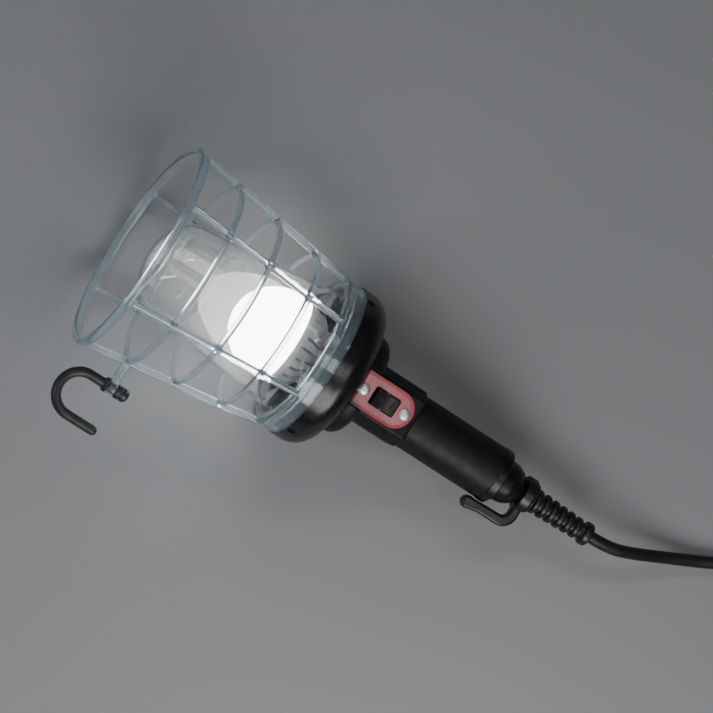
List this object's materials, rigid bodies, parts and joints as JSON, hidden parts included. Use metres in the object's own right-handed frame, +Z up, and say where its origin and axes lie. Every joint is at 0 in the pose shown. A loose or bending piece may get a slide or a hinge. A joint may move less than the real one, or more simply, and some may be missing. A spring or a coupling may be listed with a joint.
{
  "type": "work light",
  "caption": "Caged hand lamp: clear guard and globe round an LED bulb, black grip with a red-plated rocker switch, swivelling hooks at both ends and a mains cord.",
  "frame": {"origin": "bottom centre of the lamp's box, without its free cord and plug, as it lies on its mouth ring and head rim", "axes": "+Z up; +X along the lamp from the guard's mouth towards the cord, seen from above; the switch faces up and both hooks point to -Y"},
  "size_m": [0.6023, 0.2037, 0.1393],
  "materials": {
    "clear_guard": "clear polycarbonate, faint blue, gloss",
    "clear_globe": "clear globe, gloss",
    "rubber": "matt",
    "head_gloss": "gloss black",
    "screw_steel": "bright zinc",
    "black_steel": "black oxide",
    "opal": "opal white diffuser",
    "aluminium": "bare",
    "led": "phosphor yellow",
    "heat_sink": "pale satin paint",
    "circuit": "green board",
    "nickel": "nickel plate",
    "insulator": "black glass",
    "brass": "plain",
    "porcelain": "glazed",
    "zinc_steel": "zinc plate",
    "handle_black": "fine moulded texture",
    "plate_red": "satin red",
    "inlay_pink": "printed salmon face",
    "rocker_black": "satin",
    "switch_black": "moulded",
    "wire_black": "insulation",
    "wire_white": "insulation",
    "cord_black": "matt rubber sheath",
    "cap_black": "satin black",
    "hook_black": "satin black nylon",
    "boot_rubber": "satin rubber",
    "hook_grey": "vinyl-coated steel",
    "tie_black": "hook-and-loop strap",
    "plug_black": "moulded"
  },
  "bodies": {
    "root": {"guard_ring": "clear_guard", "guard_hoops": "clear_guard", "guard_ribs": "clear_guard", "guard_collar": "clear_guard", "guard_lug": "clear_guard", "globe": "clear_globe", "globe_gasket": "rubber", "head_housing": "head_gloss", "guard_screws": "black_steel", "neck_screws": "screw_steel", "bulb_dome": "opal", "bulb_board": "aluminium", "led_chips": "led", "bulb_heat_sink": "heat_sink", "bulb_driver": "circuit", "bulb_base_shell": "nickel", "bulb_base_insulator": "insulator", "bulb_base_contact": "brass", "socket_body": "porcelain", "socket_shell": "brass", "socket_contact": "brass", "socket_bracket": "zinc_steel", "handle_body": "handle_black", "plate_gasket": "rubber", "switch_plate": "plate_red", "switch_inlay": "inlay_pink", "plate_screws": "screw_steel", "rocker_pin": "screw_steel", "switch_body": "switch_black", "switch_terminals": "brass", "wire_feed": "wire_black", "wire_switched": "wire_black", "wire_neutral": "wire_white", "cord_clamp": "switch_black", "clamp_screws": "screw_steel", "cord_inner_end": "cord_black", "end_cap": "cap_black", "cord_boot": "boot_rubber", "cord_lead": "cord_black", "cord_coil": "cord_black", "cord_tail": "cord_black", "coil_tie": "tie_black", "plug_body": "plug_black", "plug_boot": "boot_rubber", "plug_blades": "nickel"},
    "rocker": {"rocker": "rocker_black", "switch_plunger": "brass", "switch_spring": "screw_steel"},
    "contact_lever": {"contact_lever": "brass"},
    "front_hook": {"front_hook": "hook_grey", "front_hook_collar": "hook_grey", "front_hook_knob": "hook_grey"},
    "rear_hook": {"rear_hook": "hook_black"}
  },
  "joints": [
    {"name": "rocker_tilt", "type": "hinge", "parent": "root", "child": "rocker", "pos_m": [0.01298, 0.02133, 0.06785], "axis": [0, 1, 0], "range_deg": [-14, 0]},
    {"name": "contact_tilt", "type": "hinge", "parent": "root", "child": "contact_lever", "pos_m": [0.01152, 0.02133, 0.05645], "axis": [0, 1, 0], "range_deg": [0, 14]},
    {"name": "front_hook_swivel", "type": "hinge", "parent": "root", "child": "front_hook", "pos_m": [-0.13167, -0.06017, 0.06561], "axis": [0.992, 0, -0.1264], "range_deg": [-105, 105]},
    {"name": "rear_hook_swivel", "type": "hinge", "parent": "root", "child": "rear_hook", "pos_m": [0.12407, 0.02133, 0.03304], "axis": [0.992, 0, -0.1264], "continuous": true}
  ],
  "couplings": [
    {"joint": "contact_tilt", "follows": "rocker_tilt", "ratio": -1}
  ]
}
